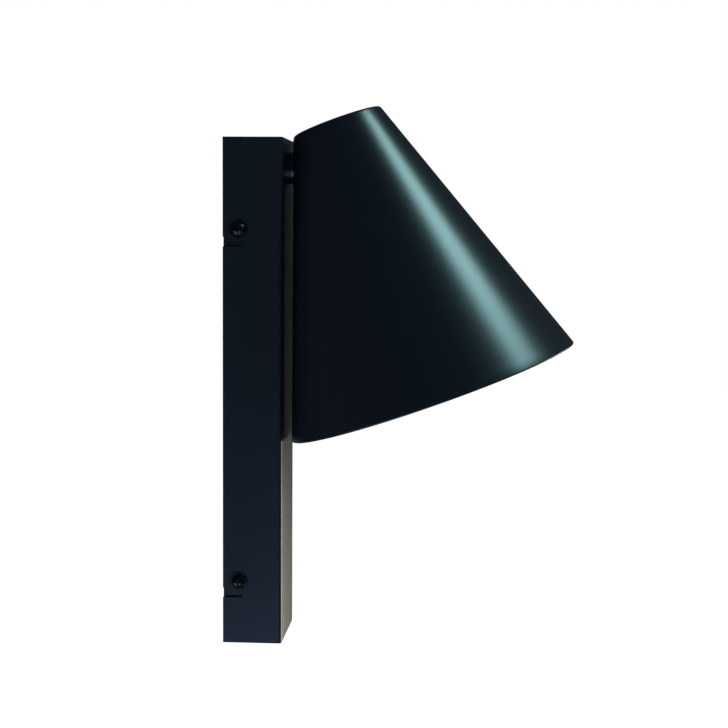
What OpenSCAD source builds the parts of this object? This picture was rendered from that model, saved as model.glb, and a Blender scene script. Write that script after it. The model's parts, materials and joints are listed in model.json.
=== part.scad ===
// Wall light: a tall sheet-metal housing on a wall bracket, with a conical shade
// that swivels on one hollow pivot. Millimetres.
// The wall is the plane y = 0 and the light stands out from it towards -Y, with +Z up.
// The origin is the middle of the two wall screws, on the wall.
// "Depth" below always means distance out from the wall, which is -Y.

/* [Housing] */
// Width of the housing across the wall
housing_w = 60; // [56:1:80]
// Depth of the housing out from the wall
housing_d = 35; // [33:1:45]
// Height of the housing
housing_h = 300; // [296:1:360]
// Thickness of the housing sheet
housing_t = 1.2; // [1:0.1:1.5]
// Outside radius of the two long front edges
housing_edge_r = 2; // [1.6:0.1:3]

/* [Wall bracket] */
// Thickness of the bracket sheet
bracket_t = 1.5; // [1.2:0.1:2]
// Distance between the two wall screws
wall_screw_spacing = 200; // [180:5:205]
// Diameter of the wall screw holes
wall_hole_d = 5.5; // [4.5:0.5:6]

/* [Cover screws] */
// Height of the upper pair of cover screws
upper_screw_z = 96; // [92:1:100]
// Height of the lower pair of cover screws
lower_screw_z = -112.6; // [-116.6:1:-106.6]
// Depth of the cover screws
cover_screw_depth = 9.4; // [8.5:0.1:10]
// Width of the L-shaped slots that hook over the screws
slot_w = 5.6; // [5:0.1:6]
// How far the cover drops once it is hooked on
slot_drop = 7; // [6.5:0.1:8]
// Diameter of the washers under the cover screws
cover_washer_d = 11; // [9:0.5:12]

/* [Shade] */
// Outside diameter of the closed top
shade_top_d = 55; // [54:1:60]
// Outside diameter of the open rim
shade_rim_d = 180; // [176:1:200]
// Angle between the cone's axis and its side
shade_half_angle = 20; // [19:0.5:21]
// Sheet thickness
shade_t = 1.5; // [1.2:0.1:1.8]
// Outside radius where the side folds into the closed top
shade_fold_r = 2; // [1.6:0.1:2.5]
// Height of the upper end of the side nearest the housing
shade_top_z = 151.2; // [150:0.2:153]

/* [Pivot] */
// Height of the pivot axis
pivot_z = 132.5; // [131:0.5:134]
// Clear gap between the housing's front and the shade
shade_gap = 3.2; // [3.2:0.1:3.8]
// Diameter of the collar and the saddle
collar_d = 19.5; // [18:0.5:20]
// Thickness of the fixed collar in front of the housing
collar_t = 1.8; // [1.5:0.1:1.8]
// Outside diameter of the hollow stem
stem_d = 10; // [9.6:0.1:10]
// Swivel of the shade each way, before the stop lug meets the stop pin
swivel_limit = 160; // [135:5:160]

/* [Lamp] */
// Distance of the lampholder's shelf below the top of the shade, along the cone's axis
shelf_w = 48; // [47:0.5:50]
// Diameter of the round opal bulb
bulb_d = 45; // [40:1:45]

/* [Wiring] */
// Diameter of the round lamp cable
cable_d = 5; // [4.5:0.1:5]
// Diameter of each insulated core
core_d = 2.1; // [1.8:0.1:2.2]

/* [Hidden] */

$fn = 64;
slip = 0.05;        // radial clearance where one piece turns in or screws into another
fit = 0.1;          // clearance where a loose piece passes a hole
over = 1;           // how far a cutting shape runs past what it cuts

// Colours
satin_black = "#1b2330";
zinc = "#b9bdc2";
brass = "#c9a24a";
nylon = "#d9d6cc";
dark_plastic = "#22262b";
white_plastic = "#e6e4de";
opal = "#f4f1e8";
live_brown = "#6b3f22";
neutral_blue = "#2f6fb5";
earth_green = "#6aa63a";

// Housing
inner_half_w = housing_w/2 - housing_t;
inner_front = housing_d - housing_t;
screw_heights = [upper_screw_z, lower_screw_z];

// Bracket
side_play = 0.3;                     // gap between each tab and the cover's side
tab_outside = inner_half_w - side_play;
plate_half_w = tab_outside - 2.3;
plate_h = housing_h - 6;
tab_depth = 16;
tab_above = 7;                       // tab height above and below each cover screw
tab_below = 13;
bend_r = 1.7;

// Machine screws, M4 and M3
m4_r = 2;
m4_head_r = 4;
m4_head_h = 3.1;
m3_r = 1.5;
m3_head_r = 2.75;
m3_head_h = 2.3;
cover_washer_t = 0.8;
tab_nut_t = 3;

// Wiring places, as [x, height]
entry_place = [0, -45];
entry_bore_r = 4.5;
entry_length = 6;
block_z = 10;
pole_pitch = 9.5;
poles = [-pole_pitch, 0, pole_pitch];
block_half_h = 10;
block_half_w = 14.2;
block_d = 9.5;
barrel_depth = 8;
barrel_r = 2.6;
clamp_place = [14, 55];
clamp_screw_x = 7.5;
cable_depth = bracket_t + cable_d/2 + 0.2;
earth_place = [0, -72];
sheath_end_z = 45;

// Shade: a point is [w, rho], with w along the cone's axis down from the top of the
// closed end and rho across it, positive away from the wall
cone_tan = tan(shade_half_angle);
cone_cos = cos(shade_half_angle);
cone_sin = sin(shade_half_angle);
top_r = shade_top_d/2;
rim_r = shade_rim_d/2;
shade_len = (rim_r - top_r)/cone_tan;
shade_near = housing_d + shade_gap;              // depth of the side nearest the wall
shade_top_depth = shade_near + top_r*cone_cos;   // depth and height of the top's centre
shade_top_centre_z = shade_top_z + top_r*cone_sin;
function depth_of(w, rho) = shade_top_depth + w*cone_sin + rho*cone_cos;
function height_of(w, rho) = shade_top_centre_z - w*cone_cos + rho*cone_sin;
// Height at a depth on the plane that crosses the axis at w
function height_on(w, depth) =
  shade_top_centre_z - (w - (depth - shade_top_depth)*cone_sin)/cone_cos;

// Pivot stack, as depths from the wall
stem_r = stem_d/2;
stem_bore_r = stem_r - 1.5;
friction_t = 0.3;
collar_front = housing_d + collar_t;
saddle_back = collar_front + friction_t;
shade_inside = shade_near + shade_t;
inner_saddle_t = 3;
bracket_leg = shade_inside + inner_saddle_t;
lock_washer_t = 1;
thin_nut_t = 4;
shade_nut_back = bracket_leg + bracket_t + lock_washer_t;
stem_front = shade_nut_back + thin_nut_t + 1;
inner_friction_t = 0.5;
stop_front = inner_front - inner_friction_t;
stop_t = 1;
spring_front = stop_front - stop_t;
spring_h = 1.5;
spring_t = 0.4;
thrust_front = spring_front - spring_h;
thrust_t = 1;
lock_nut_front = thrust_front - thrust_t;
stem_back = lock_nut_front - 2*thin_nut_t - 2;
nut_af = 14;
spigot_r = stem_r + 1;
flat_depth = 0.6;                    // depth of the flat along the box side of the stem
pin_orbit = 11.5;
pin_r = 1.5;
pin_len = 2.2;
stop_spare = 1;                      // degrees between the limit and the lug meeting the pin
lug_w = 2*(pin_orbit*sin(180 - swivel_limit - stop_spare) - pin_r);
lug_reach = 13.5;
bush_flange_t = 1;
cable_split = housing_d;             // the two lengths of cable meet inside the stem
split_gap = 0.3;

// Lampholder and bulb, as w along the cone's axis
nipple_top = shelf_w - 3.5;
nipple_len = 10.5;
nipple_nut_t = 3;
cap_top = shelf_w + bracket_t;
cap_end = cap_top + 22;
insulator_w = cap_end - 8;
insulator_t = 4;
skirt_top = cap_end - 6;
skirt_end = cap_end + 28;
shell_top = insulator_w + insulator_t;
shell_r = 13.9;
bulb_tip = shell_top + 2.6;
bulb_thread_top = bulb_tip + 4;
bulb_thread_end = bulb_tip + 24;
globe_r = bulb_d/2;
globe_centre = bulb_tip + 78 - globe_r;
housing_top = bulb_thread_end;
globe_cut = globe_centre - 12;
globe_t = 1;

// ---------- places ----------

// Local x across, local y up, local z out from the wall, starting at this depth
module facing(depth) { translate([0, -depth, 0]) rotate([90, 0, 0]) children(); }

// The same, centred on the pivot axis
module on_pivot(depth) { translate([0, 0, pivot_z]) facing(depth) children(); }

// Local z along the cone's axis down from the closed top, local y away from the wall
module on_cone(w = 0) {
  translate([0, -shade_top_depth, shade_top_centre_z])
    rotate([180 - shade_half_angle, 0, 0]) translate([0, 0, w]) children();
}

// A shape drawn as [depth, height], extruded across the light
module side_view(width) {
  rotate([90, 0, -90]) linear_extrude(width, center = true) children();
}

module both_sides() { for (m = [0, 1]) mirror([m, 0, 0]) children(); }

// ---------- shared shapes ----------

module ring(r_out, r_in, h) {
  difference() {
    cylinder(r = r_out, h = h);
    translate([0, 0, -over]) cylinder(r = r_in, h = h + 2*over);
  }
}

module hex_nut(af, bore_r, h) {
  difference() {
    intersection() {
      cylinder(r = af/2/cos(30), h = h, $fn = 6);
      union() {
        // chamfered corners on both faces
        cylinder(r1 = af/2, r2 = af/2 + h, h = h/2);
        translate([0, 0, h/2]) cylinder(r1 = af/2 + h, r2 = af/2, h = h/2);
      }
    }
    translate([0, 0, -over]) cylinder(r = bore_r, h = h + 2*over);
  }
}

// Pan-head screw with a cross recess, its head on z = 0 and its shank below
module pan_screw(r, head_r, head_h, len) {
  side_h = head_h*0.4;
  crown_r = (pow(head_r, 2) + pow(head_h - side_h, 2))/(2*(head_h - side_h));
  recess = head_h*0.62;
  difference() {
    intersection() {
      cylinder(r = head_r, h = head_h);
      translate([0, 0, head_h - crown_r]) sphere(crown_r);
    }
    intersection() {
      for (a = [0, 90]) rotate(a)
        translate([-head_r, -head_r*0.11, head_h - recess]) cube([2*head_r, head_r*0.22, head_h]);
      translate([0, 0, head_h - recess]) cylinder(r1 = head_r*0.25, r2 = head_r*0.62, h = recess);
    }
  }
  translate([0, 0, -len]) cylinder(r = r, h = len);
}

function unit(v) = v/norm(v);
// Points of a smooth curve through the given ones, n to each stretch
function smooth(p, n) = let (m = len(p) - 1) [
  for (i = [0:m - 1], k = [0:n - 1])
    let (t = k/n, a = p[max(i - 1, 0)], b = p[i], c = p[i + 1], d = p[min(i + 2, m)])
      0.5*(2*b + (c - a)*t + (2*a - 5*b + 4*c - d)*pow(t, 2) + (3*b - a - 3*c + d)*pow(t, 3)),
  p[m]
];
// A round tube swept along points that never run straight across the light
module tube(p, r, sides = 12) {
  n = len(p);
  rings = [for (i = [0:n - 1])
    let (t = unit(p[min(i + 1, n - 1)] - p[max(i - 1, 0)]), u = unit(cross(t, [1, 0, 0])), v = cross(t, u))
      for (k = [0:sides - 1]) p[i] + r*(u*cos(360*k/sides) + v*sin(360*k/sides))];
  sides_faces = [for (i = [0:n - 2], k = [0:sides - 1]) let (q = (k + 1)%sides)
    [i*sides + k, i*sides + q, (i + 1)*sides + q, (i + 1)*sides + k]];
  caps = [[for (k = [sides - 1:-1:0]) k], [for (k = [0:sides - 1]) (n - 1)*sides + k]];
  polyhedron(points = rings, faces = concat(sides_faces, caps));
}

// ---------- housing and bracket ----------

// Plan of a box open to the wall, with its two front corners rounded
module box_plan(half_w, depth, r) {
  translate([-half_w, -depth + r]) square([2*half_w, depth - r]);
  translate([-half_w + r, -depth]) square([2*half_w - 2*r, r]);
  for (s = [-1, 1]) translate([s*(half_w - r), -depth + r]) circle(r);
}

// L-shaped slot, drawn as [depth, height]: in from the back edge, then up to the screw
module slot_shape(screw_z) {
  corner = 1.2;
  far = cover_screw_depth + slot_w/2;
  low = screw_z - slot_drop - slot_w/2;
  translate([-over, low]) square([far - corner + over, slot_w]);
  translate([far - slot_w, low + corner]) square([slot_w, screw_z - low - corner]);
  translate([far - corner, low + corner]) circle(corner);
  translate([cover_screw_depth, screw_z]) circle(slot_w/2);
}

module housing_cover() color(satin_black) difference() {
  translate([0, 0, -housing_h/2]) linear_extrude(housing_h)
    box_plan(housing_w/2, housing_d, housing_edge_r);
  translate([0, over, -housing_h/2 + housing_t]) linear_extrude(housing_h - 2*housing_t)
    box_plan(inner_half_w, inner_front + over, housing_edge_r - housing_t);
  for (z = screw_heights) side_view(housing_w + 2*over) slot_shape(z);
  on_pivot(inner_front - over) cylinder(r = spigot_r + slip, h = housing_t + 2*over);
  translate([0, 0, pin_orbit]) on_pivot(inner_front - over)
    cylinder(r = pin_r*0.6 + slip, h = housing_t + over - 0.5);
}

// Plan of the plate with its two side tabs folded forward
module tab_plan() difference() {
  union() {
    translate([-tab_outside, -tab_depth]) square([2*tab_outside, tab_depth - bend_r]);
    translate([-tab_outside + bend_r, -tab_depth])
      square([2*(tab_outside - bend_r), tab_depth]);
    for (s = [-1, 1]) translate([s*(tab_outside - bend_r), -bend_r]) circle(bend_r);
  }
  translate([-tab_outside + bracket_t, -tab_depth - over])
    square([2*(tab_outside - bracket_t), tab_depth + over - bracket_t]);
}

module wall_bracket() color(satin_black) difference() {
  union() {
    translate([-plate_half_w, -bracket_t, -plate_h/2]) cube([2*plate_half_w, bracket_t, plate_h]);
    for (z = screw_heights) translate([0, 0, z - tab_below])
      linear_extrude(tab_above + tab_below) tab_plan();
  }
  for (z = screw_heights) translate([0, -cover_screw_depth, z]) rotate([0, 90, 0])
    cylinder(r = m4_r + slip, h = housing_w, center = true);
  for (s = [-1, 1]) translate([0, 0, s*wall_screw_spacing/2]) facing(-over)
    cylinder(d = wall_hole_d, h = bracket_t + 2*over);
  translate([entry_place.x, 0, entry_place.y]) facing(-over)
    cylinder(r = entry_bore_r + 2.5, h = bracket_t + 2*over);
  translate([earth_place.x, 0, earth_place.y]) facing(-over)
    cylinder(r = m4_r + slip, h = bracket_t + 2*over);
  for (s = [-1, 1]) translate([s*pole_pitch/2, 0, block_z]) facing(-over)
    cylinder(r = m3_r + slip, h = bracket_t + 2*over);
  for (s = [-1, 1]) translate([clamp_place.x + s*clamp_screw_x, 0, clamp_place.y]) facing(-over)
    cylinder(r = m3_r + slip, h = bracket_t + 2*over);
}

// Places children at each cover screw with local z pointing out of the side, from distance x
module at_cover_screws(x) for (z = screw_heights) both_sides()
  translate([x, -cover_screw_depth, z]) rotate([0, 90, 0]) children();

module tab_nuts() color(zinc) at_cover_screws(tab_outside - bracket_t - tab_nut_t)
  ring(3.5, m4_r + slip, tab_nut_t);

module cover_screw_washers() color(satin_black) at_cover_screws(housing_w/2)
  ring(cover_washer_d/2, m4_r + fit, cover_washer_t);

module cover_screws() color(dark_plastic) at_cover_screws(housing_w/2 + cover_washer_t)
  pan_screw(m4_r, m4_head_r, m4_head_h,
    cover_washer_t + housing_t + side_play + bracket_t + tab_nut_t + 1);

// ---------- wiring in the housing ----------

module cable_entry_bush() color(dark_plastic)
  translate([entry_place.x, 0, entry_place.y]) facing(0) difference() {
    union() {
      cylinder(r = entry_bore_r + 2.4, h = bracket_t);
      translate([0, 0, bracket_t]) cylinder(r = entry_bore_r + 4.5, h = 1.5);
      cylinder(r = entry_bore_r + 1.6, h = entry_length);
    }
    translate([0, 0, -over]) cylinder(r = entry_bore_r, h = entry_length + 2*over);
  }

// Places children over both ends of each pole of the terminal block
module at_pole_ends(depth) for (x = poles, end = [-1, 1])
  translate([x, 0, block_z + 5*end]) facing(depth) children();

module terminal_block() color(white_plastic) difference() {
  union() {
    translate([0, 0, block_z]) facing(bracket_t) translate([-block_half_w, -block_half_h, 0])
      cube([2*block_half_w, 2*block_half_h, block_d]);
    // a screw tower over each end of each pole
    at_pole_ends(bracket_t + block_d) cylinder(r = 3.4, h = 3);
  }
  for (x = poles) translate([x, -barrel_depth, block_z - block_half_h - over])
    cylinder(r = barrel_r + slip, h = 2*block_half_h + 2*over);
  at_pole_ends(barrel_depth) cylinder(r = 2.1, h = 10);
  for (s = [-1, 1]) translate([s*pole_pitch/2, 0, block_z]) facing(0)
    cylinder(r = m3_r + fit, h = 20);
}

module terminal_barrels() color(brass) for (x = poles) difference() {
  translate([x, -barrel_depth, block_z - block_half_h + 1])
    cylinder(r = barrel_r, h = 2*block_half_h - 2);
  translate([x, -barrel_depth, block_z - block_half_h - over])
    cylinder(r = 1.6, h = 2*block_half_h + 2*over);
  at_pole_ends(barrel_depth) cylinder(r = m3_r + slip, h = 5);
}

module terminal_screws() color(zinc) at_pole_ends(barrel_depth + 1.4) difference() {
  cylinder(r = m3_r, h = 4.5);
  translate([-2, -0.3, 3.7]) cube([4, 0.6, 2]);
}

module terminal_block_screws() color(zinc) for (s = [-1, 1])
  translate([s*pole_pitch/2, 0, block_z]) facing(bracket_t + block_d)
    pan_screw(m3_r, 1.9, 1.8, bracket_t + block_d - 0.2);

module cord_clamp() color(dark_plastic)
  translate([clamp_place.x, 0, clamp_place.y]) difference() {
    facing(bracket_t) translate([-11, -4, 0]) cube([22, 8, cable_d + 2.5]);
    translate([0, -cable_depth, -5]) cylinder(r = cable_d/2 + fit, h = 10);
    translate([-cable_d/2 - fit, -cable_depth, -5]) cube([cable_d + 2*fit, cable_depth, 10]);
    for (s = [-1, 1]) translate([s*clamp_screw_x, 0, 0]) facing(0) cylinder(r = m3_r + fit, h = 20);
  }

module cord_clamp_screws() color(zinc) for (s = [-1, 1])
  translate([clamp_place.x + s*clamp_screw_x, 0, clamp_place.y]) facing(bracket_t + cable_d + 2.5)
    pan_screw(m3_r, m3_head_r, m3_head_h, bracket_t + cable_d + 2.3);

module earth_washer() color(zinc) translate([earth_place.x, 0, earth_place.y])
  facing(bracket_t + 0.8) ring(4.2, m4_r + fit, 0.8);

module earth_lug() color(brass) translate([earth_place.x, 0, earth_place.y]) facing(bracket_t) {
  difference() {
    union() {
      cylinder(r = 4, h = 0.8);
      translate([-1.6, 0, 0]) cube([3.2, 8, 0.8]);
    }
    translate([0, 0, -over]) cylinder(r = m4_r + fit, h = 3);
  }
  translate([0, 8, 1.7]) rotate([-90, 0, 0]) ring(1.7, core_d/2 + slip, 5);
}

module earth_screw() color(zinc) translate([earth_place.x, 0, earth_place.y])
  facing(bracket_t + 1.6) pan_screw(m4_r, m4_head_r, m4_head_h, bracket_t + 1.5);

// Routes through the housing, as points in millimetres
earth_route = [
  [0, -3.2, -60.5], [0.3, -3.4, -58], [4, -5.5, -54], [11, -8, -49], [13.5, -8.5, -42],
  [13.5, -8.5, -28], [12.5, -8.3, -15], [10.5, -8, -6], [pole_pitch, -8, 0], [pole_pitch, -8, 4]
];
box_cable_route = [
  [0, -cable_split, pivot_z], [0, -28, pivot_z], [0, -22, pivot_z], [0, -18, pivot_z - 0.2],
  [0.3, -12.5, 130.8], [2, -8, 126.2], [5, -5.4, 119.5], [9.5, -cable_depth, 111],
  [13, -cable_depth, 101], [14, -cable_depth, 90], [14, -cable_depth, 75],
  [14, -cable_depth, 60], [14, -cable_depth, 52], [14, -cable_depth, sheath_end_z]
];
// A core leaves the sheath at an offset from its centre and ends in its pole
function core_route(pole, dx, dy) = [
  [14 + dx, -cable_depth + dy, sheath_end_z - 0.5], [14 + dx, -cable_depth + dy, 43],
  [14 + 0.3*dx + 0.25*(pole - 14), -5.5 + dy, 37.5], [pole + 0.22*(14 - pole), -7, 29],
  [pole, -barrel_depth, 23], [pole, -barrel_depth, 18], [pole, -barrel_depth, 14]
];
core_offset = core_d*0.6;

module earth_wire() color(earth_green) tube(smooth(earth_route, 3), core_d/2, 8);
module lamp_cable_box_side() color(white_plastic) tube(smooth(box_cable_route, 3), cable_d/2);
module core_live() color(live_brown)
  tube(smooth(core_route(poles[0], -core_offset, core_offset*0.6), 4), core_d/2, 8);
module core_neutral() color(neutral_blue)
  tube(smooth(core_route(poles[1], 0, -core_offset*1.1), 4), core_d/2, 8);
module core_earth() color(earth_green)
  tube(smooth(core_route(poles[2], core_offset, core_offset*0.6), 4), core_d/2, 8);

// ---------- pivot, fixed side ----------

module pivot_collar() color(satin_black) difference() {
  union() {
    on_pivot(inner_front) cylinder(r = spigot_r, h = housing_t + over);
    on_pivot(housing_d) cylinder(d = collar_d, h = collar_t - 0.3);
    on_pivot(collar_front - 0.3) cylinder(d1 = collar_d, d2 = collar_d - 0.6, h = 0.3);
  }
  on_pivot(inner_front - over) cylinder(r = stem_r + slip, h = 10);
}

module outer_friction_washer() color(nylon) on_pivot(collar_front)
  ring(collar_d/2 - 0.8, stem_r + slip, friction_t);

module inner_friction_washer() color(nylon) on_pivot(inner_front - inner_friction_t)
  ring(8.5, stem_r + slip, inner_friction_t);

module stop_pin() color(zinc) translate([0, 0, pin_orbit]) {
  on_pivot(inner_front - pin_len) cylinder(r = pin_r, h = pin_len);
  on_pivot(inner_front) cylinder(r = pin_r*0.6, h = housing_t - 0.6);
}

// ---------- pivot, turning side ----------

module pivot_stem() color(zinc) difference() {
  on_pivot(stem_back) cylinder(r = stem_r, h = stem_front - stem_back);
  on_pivot(stem_back - over) cylinder(r = stem_bore_r, h = stem_front - stem_back + 2*over);
  on_pivot(stem_back - over) translate([-stem_r, stem_r - flat_depth, 0])
    cube([2*stem_r, stem_r, inner_front - inner_friction_t - stem_back + over]);
}

// The whole cone as a solid, moved out or in from its side by the given distance
module cone_space(grow) on_cone(-10)
  cylinder(r1 = top_r - 10*cone_tan + grow/cone_cos,
           r2 = rim_r + 10*cone_tan + grow/cone_cos, h = shade_len + 20);

module pivot_saddle() color(satin_black) difference() {
  union() {
    on_pivot(saddle_back) cylinder(d1 = collar_d - 0.6, d2 = collar_d, h = 0.3);
    on_pivot(saddle_back + 0.3) cylinder(d = collar_d, h = 4);
  }
  cone_space(slip);
  on_pivot(saddle_back - over) cylinder(r = stem_r + slip, h = 10);
}

module inner_saddle() color(zinc) difference() {
  intersection() {
    on_pivot(shade_near) cylinder(r = collar_d/2 - 0.5, h = bracket_leg - shade_near);
    cone_space(-shade_t - slip);
  }
  on_pivot(shade_near - over) cylinder(r = stem_r + slip, h = 10);
}

// Washer keyed on the stem's flat, with the lug that meets the stop pin
module stop_washer() color(zinc) on_pivot(stop_front - stop_t) difference() {
  union() {
    cylinder(r = 8.5, h = stop_t);
    translate([-lug_w/2, -lug_reach, 0]) cube([lug_w, lug_reach, stop_t]);
  }
  difference() {
    translate([0, 0, -over]) cylinder(r = stem_r + slip, h = stop_t + 2*over);
    translate([-stem_r, stem_r - flat_depth + slip, -2*over]) cube([2*stem_r, 2, stop_t + 4*over]);
  }
}

// Three-wave spring washer
wave_steps = 48;
function wave_ring(r, lift) = [for (k = [0:wave_steps - 1]) let (a = 360*k/wave_steps)
  [r*cos(a), r*sin(a), lift + (spring_h - spring_t)/2*(1 + cos(3*a))]];
module wave_spring() color(zinc) on_pivot(thrust_front) {
  n = wave_steps;
  rings = concat(wave_ring(stem_r + 0.3, 0), wave_ring(8, 0), wave_ring(8, spring_t),
    wave_ring(stem_r + 0.3, spring_t));
  polyhedron(points = rings, faces = [for (s = [0:3], k = [0:n - 1])
    let (q = (k + 1)%n, t = (s + 1)%4, a = s*n + k, b = s*n + q, c = t*n + q, d = t*n + k)
      each [[a, d, c], [a, c, b]]]);
}

module thrust_washer() color(zinc) on_pivot(lock_nut_front) ring(8, stem_r + slip, thrust_t);

module stem_lock_nuts() color(zinc) for (i = [1, 2])
  on_pivot(lock_nut_front - i*thin_nut_t) hex_nut(nut_af, stem_r + slip, thin_nut_t - slip);

module shade_lock_washer() color(zinc) on_pivot(bracket_leg + bracket_t) difference() {
  ring(8, stem_r + slip, lock_washer_t);
  // outward teeth
  for (a = [0:30:330]) rotate(a) translate([7, -0.5, -over]) cube([2, 1, 3]);
}

module shade_nut() color(zinc) on_pivot(shade_nut_back) hex_nut(nut_af, stem_r + slip, thin_nut_t);

module stem_end_bushes() color(nylon) {
  on_pivot(stem_back) mirror([0, 0, 1]) end_bush();
  on_pivot(stem_front) end_bush();
}
module end_bush() difference() {
  union() {
    cylinder(r = stem_r - 0.2, h = bush_flange_t);
    translate([0, 0, -4]) cylinder(r = stem_bore_r - slip, h = 4);
  }
  translate([0, 0, -5]) cylinder(r = cable_d/2 + fit, h = 8);
}

// ---------- shade ----------

// Half of the shade's section, as [radius, w], with the fold at the top and a round rim edge
function arc(c, r, from, to, n) = [for (i = [0:n]) let (a = from + (to - from)*i/n)
  [c.x + r*cos(a), c.y + r*sin(a)]];
// radius of the outside, or of a line moved in from it, at w
function side_r(w, inset) = top_r + w*cone_tan - inset/cone_cos;
fold_c = [side_r(shade_fold_r, shade_fold_r), shade_fold_r];
edge_r = shade_t/2;
edge_c = [side_r(shade_len - edge_r, edge_r), shade_len - edge_r];
module shade_section() polygon(concat(
  [[0, 0]],
  arc(fold_c, shade_fold_r, -90, -shade_half_angle, 8),
  arc(edge_c, edge_r, -shade_half_angle, 180 - shade_half_angle, 10),
  arc(fold_c, shade_fold_r - shade_t, -shade_half_angle, -90, 4),
  [[0, shade_t]]
));

module shade() color(satin_black) difference() {
  on_cone() rotate_extrude() shade_section();
  on_pivot(shade_near - over) cylinder(r = stem_r + fit, h = shade_t + 3);
}

// ---------- lampholder ----------

shelf_end = 10;
leg_top_z = pivot_z + 9;
module lampholder_bracket() color(zinc) difference() {
  side_view(16) polygon([
    [bracket_leg, leg_top_z],
    [bracket_leg + bracket_t, leg_top_z],
    [bracket_leg + bracket_t, height_on(shelf_w, bracket_leg + bracket_t)],
    [depth_of(shelf_w, shelf_end), height_of(shelf_w, shelf_end)],
    [depth_of(shelf_w + bracket_t, shelf_end), height_of(shelf_w + bracket_t, shelf_end)],
    [bracket_leg, height_on(shelf_w + bracket_t, bracket_leg)]
  ]);
  on_pivot(bracket_leg - over) cylinder(r = stem_r + slip, h = bracket_t + 2*over);
  on_cone(shelf_w - over) cylinder(r = stem_r + slip, h = bracket_t + 2*over);
}

module lampholder_nipple() color(zinc) on_cone(nipple_top) ring(stem_r, stem_bore_r, nipple_len);

module nipple_nut() color(zinc) on_cone(shelf_w - nipple_nut_t)
  hex_nut(nut_af, stem_r + slip, nipple_nut_t);

module lampholder_cap() color(dark_plastic) on_cone(cap_top) difference() {
  rotate_extrude() polygon(concat(
    [[stem_r + slip, 0], [8, 0], [8, 4]],
    arc([10, 13], 9, -80, 0, 8),
    [[19, 22], [17, 22], [17, 14]],
    arc([9.5, 13.5], 7.5, 0, -85, 8),
    [[stem_r + slip, 6]]
  ));
}

module lampholder_insulator() color(white_plastic) on_cone(insulator_w) difference() {
  cylinder(r = 16.8, h = insulator_t);
  for (a = [0, 180]) rotate(a) translate([10.5, 0, -over]) cylinder(r = 1.5, h = 8);
}

module lampholder_shell() color(brass) on_cone(shell_top) ring(shell_r + 0.5, shell_r, 20);

module lampholder_contact() color(brass) on_cone(shell_top) {
  translate([-2.5, -7, 0]) cube([5, 14, 0.5]);
  translate([0, 0, 0.5]) cylinder(r = 2.4, h = bulb_tip - shell_top - 0.55);
}

module lampholder_skirt() color(dark_plastic) on_cone() difference() {
  rotate_extrude() polygon([
    [19.1, skirt_top], [21, skirt_top], [21, skirt_top + 12], [20, skirt_top + 13],
    [20, skirt_end - 2], [19, skirt_end], [16.2, skirt_end], [15.2, skirt_end - 1],
    [15.2, cap_end + 0.1], [19.1, cap_end + 0.1]
  ]);
  // grip flutes round the upper collar
  for (a = [0:15:345]) rotate(a) translate([21.6, 0, skirt_top - over]) cylinder(r = 0.9, h = 10);
}

// ---------- bulb ----------

// Rolled thread of the screw cap, drawn as rounded waves
thread_pitch = 3.63;
function thread_r(w) = 12.85 + 0.45*cos(360*(w - bulb_thread_top)/thread_pitch);
thread_steps = 44;
module bulb_screw_cap() color(zinc) on_cone() rotate_extrude() polygon(concat(
  [[9, bulb_thread_top - 1.5], [11.5, bulb_thread_top - 1.2]],
  [for (i = [0:thread_steps])
    let (w = bulb_thread_top + (bulb_thread_end - bulb_thread_top)*i/thread_steps) [thread_r(w), w]],
  [[11.6, bulb_thread_end], [11.6, bulb_thread_top], [9, bulb_thread_top - 0.6]]
));

module bulb_insulator() color(dark_plastic) on_cone() difference() {
  rotate_extrude() polygon([
    [0, bulb_tip + 0.9], [5, bulb_tip + 0.9], [8.9, bulb_thread_top - 1.6],
    [8.9, bulb_thread_top - 0.4], [0, bulb_thread_top - 0.4]
  ]);
}

module bulb_contact() color(zinc) on_cone(bulb_tip) cylinder(r1 = 3.6, r2 = 4.6, h = 0.9);

// Outer line of the plastic neck, from the screw cap to the globe
neck_end_r = sqrt(pow(globe_r, 2) - pow(globe_centre - globe_cut, 2));
module bulb_housing() color(white_plastic) on_cone() rotate_extrude() polygon(concat(
  [[11.4, housing_top - 4], [11.4, housing_top], [13.4, housing_top], [13.9, housing_top + 6]],
  [for (i = [1:8]) let (t = i/8) [13.9 + (neck_end_r - 13.9)*pow(sin(90*t), 1.3),
    housing_top + 6 + (globe_cut - housing_top - 6)*t]],
  [[neck_end_r - 2.2, globe_cut], [neck_end_r - 3.5, globe_cut - 3], [11, housing_top + 7],
   [10, housing_top - 4]]
));

module bulb_globe() color(opal) on_cone(globe_centre) difference() {
  sphere(globe_r);
  sphere(globe_r - globe_t);
  translate([0, 0, globe_cut - globe_centre - globe_r*2]) cylinder(r = globe_r*2, h = globe_r*2);
}

// ---------- cable in the shade ----------

shade_cable_route = [
  [0, -cable_split - split_gap, pivot_z], [0, -42, pivot_z], [0, -49, pivot_z],
  [0, -55, pivot_z + 0.1], [0, -62, pivot_z + 0.2], [0, -68.5, 131.3], [0, -74, 128],
  [0, -78, 123.2], [0, -depth_of(nipple_top, 0), height_of(nipple_top, 0)],
  [0, -depth_of(nipple_top + 6, 0), height_of(nipple_top + 6, 0)],
  [0, -depth_of(nipple_top + 13, 0), height_of(nipple_top + 13, 0)]
];
module lamp_cable_shade_side() color(white_plastic) tube(smooth(shade_cable_route, 3), cable_d/2);

// ---------- assembly ----------

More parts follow.
